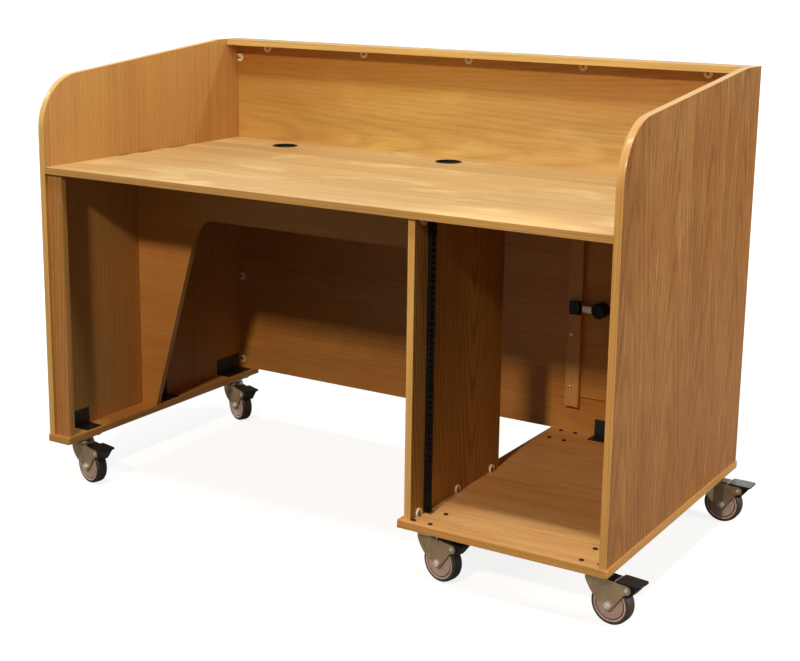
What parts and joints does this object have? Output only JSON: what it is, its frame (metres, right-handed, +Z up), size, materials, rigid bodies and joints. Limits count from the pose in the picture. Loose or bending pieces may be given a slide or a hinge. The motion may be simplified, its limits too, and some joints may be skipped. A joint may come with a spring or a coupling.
{
  "type": "presentation desk",
  "caption": "Mobile wooden presentation desk with high side and back panels, an open knee space, a rack bay with a lockable rear door, cable ports and total-lock castors.",
  "frame": {"origin": "on the floor under the middle of the overall box", "axes": "+X to the right of a person sitting at the desk, +Y towards the back panel, +Z up"},
  "size_m": [1.76, 0.868, 1.204],
  "materials": {
    "oak_vertical": "satin oak veneer, grain upright",
    "oak_level": "satin oak veneer, grain level",
    "rail_steel": "matt dark powder coat",
    "black_plastic": "fine moulded grain",
    "ivory_plastic": "smooth moulded",
    "black_steel": "satin black",
    "screw_steel": "dull zinc plate",
    "castor_zinc": "yellowish zinc plate",
    "plate_zinc": "bright zinc plate",
    "axle_steel": "bright plated",
    "wheel_hub": "satin moulded",
    "wheel_tread": "matt elastic rubber",
    "pedal_black": "satin black",
    "hinge_steel": "satin",
    "lock_metal": "satin dark",
    "lock_chrome": "bright plated"
  },
  "bodies": {
    "desk": {"left_side_panel": "oak_vertical", "right_side_panel": "oak_vertical", "worktop": "oak_level", "back_panel": "oak_level", "cap_rail": "oak_level", "left_base_board": "oak_level", "bay_base_board": "oak_level", "partition_panel": "oak_vertical", "brace_panel": "oak_level", "left_front_post": "oak_vertical", "door_batten": "oak_vertical", "rack_rail_left": "rail_steel", "rack_rail_right": "rail_steel", "cable_grommets": "black_plastic", "panel_connectors": "ivory_plastic", "connector_bolts": "screw_steel", "corner_brackets": "black_steel", "wood_screws": "screw_steel", "castor_plates": "plate_zinc", "castor_bolts": "black_steel", "hinge_leaves_frame": "hinge_steel", "hinge_pins": "hinge_steel", "lock_strike": "lock_metal"},
    "door": {"access_door": "oak_level", "hinge_leaves_door": "hinge_steel", "lock_body": "lock_metal"},
    "lock_bolt": {"lock_bolt": "lock_chrome"},
    "key_barrel": {"key_barrel": "lock_chrome"},
    "left_front_fork": {"left_front_fork": "castor_zinc", "left_front_axle": "axle_steel"},
    "left_front_wheel": {"left_front_hub": "wheel_hub", "left_front_tread": "wheel_tread"},
    "left_front_pedal": {"left_front_pedal": "pedal_black"},
    "left_rear_fork": {"left_rear_fork": "castor_zinc", "left_rear_axle": "axle_steel"},
    "left_rear_wheel": {"left_rear_hub": "wheel_hub", "left_rear_tread": "wheel_tread"},
    "left_rear_pedal": {"left_rear_pedal": "pedal_black"},
    "bay_front_fork": {"bay_front_fork": "castor_zinc", "bay_front_axle": "axle_steel"},
    "bay_front_wheel": {"bay_front_hub": "wheel_hub", "bay_front_tread": "wheel_tread"},
    "bay_front_pedal": {"bay_front_pedal": "pedal_black"},
    "bay_rear_fork": {"bay_rear_fork": "castor_zinc", "bay_rear_axle": "axle_steel"},
    "bay_rear_wheel": {"bay_rear_hub": "wheel_hub", "bay_rear_tread": "wheel_tread"},
    "bay_rear_pedal": {"bay_rear_pedal": "pedal_black"},
    "right_front_fork": {"right_front_fork": "castor_zinc", "right_front_axle": "axle_steel"},
    "right_front_wheel": {"right_front_hub": "wheel_hub", "right_front_tread": "wheel_tread"},
    "right_front_pedal": {"right_front_pedal": "pedal_black"},
    "right_rear_fork": {"right_rear_fork": "castor_zinc", "right_rear_axle": "axle_steel"},
    "right_rear_wheel": {"right_rear_hub": "wheel_hub", "right_rear_tread": "wheel_tread"},
    "right_rear_pedal": {"right_rear_pedal": "pedal_black"}
  },
  "joints": [
    {"name": "door_hinge", "type": "hinge", "parent": "desk", "child": "door", "pos_m": [0.75499, 0.43, 0.51], "axis": [0, 0, -1], "range_deg": [0, 110]},
    {"name": "key_turn", "type": "hinge", "parent": "door", "child": "key_barrel", "pos_m": [0.40499, 0.43, 0.513], "axis": [0, 1, 0], "range_deg": [0, 90]},
    {"name": "bolt_slide", "type": "slide", "parent": "door", "child": "lock_bolt", "axis": [-1, 0, 0], "range_m": [0, 0.014]},
    {"name": "left_front_swivel", "type": "hinge", "parent": "desk", "child": "left_front_fork", "pos_m": [-0.83701, -0.342, 0.125], "axis": [0, 0, 1], "continuous": true},
    {"name": "left_front_roll", "type": "hinge", "parent": "left_front_fork", "child": "left_front_wheel", "pos_m": [-0.79317, -0.35212, 0.05], "axis": [0.225, 0.9744, 0], "continuous": true},
    {"name": "left_front_brake", "type": "hinge", "parent": "left_front_fork", "child": "left_front_pedal", "pos_m": [-0.75078, -0.36191, 0.0968], "axis": [0.225, 0.9744, 0], "range_deg": [0, 10]},
    {"name": "left_rear_swivel", "type": "hinge", "parent": "desk", "child": "left_rear_fork", "pos_m": [-0.83701, 0.342, 0.125], "axis": [0, 0, 1], "continuous": true},
    {"name": "left_rear_roll", "type": "hinge", "parent": "left_rear_fork", "child": "left_rear_wheel", "pos_m": [-0.79559, 0.32442, 0.05], "axis": [0.3907, 0.9205, 0], "continuous": true},
    {"name": "left_rear_brake", "type": "hinge", "parent": "left_rear_fork", "child": "left_rear_pedal", "pos_m": [-0.75555, 0.30742, 0.0968], "axis": [0.3907, 0.9205, 0], "range_deg": [0, 10]},
    {"name": "bay_front_swivel", "type": "hinge", "parent": "desk", "child": "bay_front_fork", "pos_m": [0.32149, -0.376, 0.125], "axis": [0, 0, 1], "continuous": true},
    {"name": "bay_front_roll", "type": "hinge", "parent": "bay_front_fork", "child": "bay_front_wheel", "pos_m": [0.3655, -0.38536, 0.05], "axis": [0.2079, 0.9781, 0], "continuous": true},
    {"name": "bay_front_brake", "type": "hinge", "parent": "bay_front_fork", "child": "bay_front_pedal", "pos_m": [0.40805, -0.3944, 0.0968], "axis": [0.2079, 0.9781, 0], "range_deg": [0, 10]},
    {"name": "bay_rear_swivel", "type": "hinge", "parent": "desk", "child": "bay_rear_fork", "pos_m": [0.32149, 0.359, 0.125], "axis": [0, 0, 1], "continuous": true},
    {"name": "bay_rear_roll", "type": "hinge", "parent": "bay_rear_fork", "child": "bay_rear_wheel", "pos_m": [0.36605, 0.35274, 0.05], "axis": [0.1392, 0.9903, 0], "continuous": true},
    {"name": "bay_rear_brake", "type": "hinge", "parent": "bay_rear_fork", "child": "bay_rear_pedal", "pos_m": [0.40913, 0.34668, 0.0968], "axis": [0.1392, 0.9903, 0], "range_deg": [0, 10]},
    {"name": "right_front_swivel", "type": "hinge", "parent": "desk", "child": "right_front_fork", "pos_m": [0.75649, -0.369, 0.125], "axis": [0, 0, 1], "continuous": true},
    {"name": "right_front_roll", "type": "hinge", "parent": "right_front_fork", "child": "right_front_wheel", "pos_m": [0.80115, -0.37448, 0.05], "axis": [0.1219, 0.9925, 0], "continuous": true},
    {"name": "right_front_brake", "type": "hinge", "parent": "right_front_fork", "child": "right_front_pedal", "pos_m": [0.84433, -0.37978, 0.0968], "axis": [0.1219, 0.9925, 0], "range_deg": [0, 10]},
    {"name": "right_rear_swivel", "type": "hinge", "parent": "desk", "child": "right_rear_fork", "pos_m": [0.75649, 0.359, 0.125], "axis": [0, 0, 1], "continuous": true},
    {"name": "right_rear_roll", "type": "hinge", "parent": "right_rear_fork", "child": "right_rear_wheel", "pos_m": [0.80148, 0.35822, 0.05], "axis": [0.0175, 0.9998, 0], "continuous": true},
    {"name": "right_rear_brake", "type": "hinge", "parent": "right_rear_fork", "child": "right_rear_pedal", "pos_m": [0.84497, 0.35746, 0.0968], "axis": [0.0175, 0.9998, 0], "range_deg": [0, 10]}
  ],
  "couplings": [
    {"joint": "key_turn", "follows": "bolt_slide", "rad_per_m": 112.19}
  ]
}
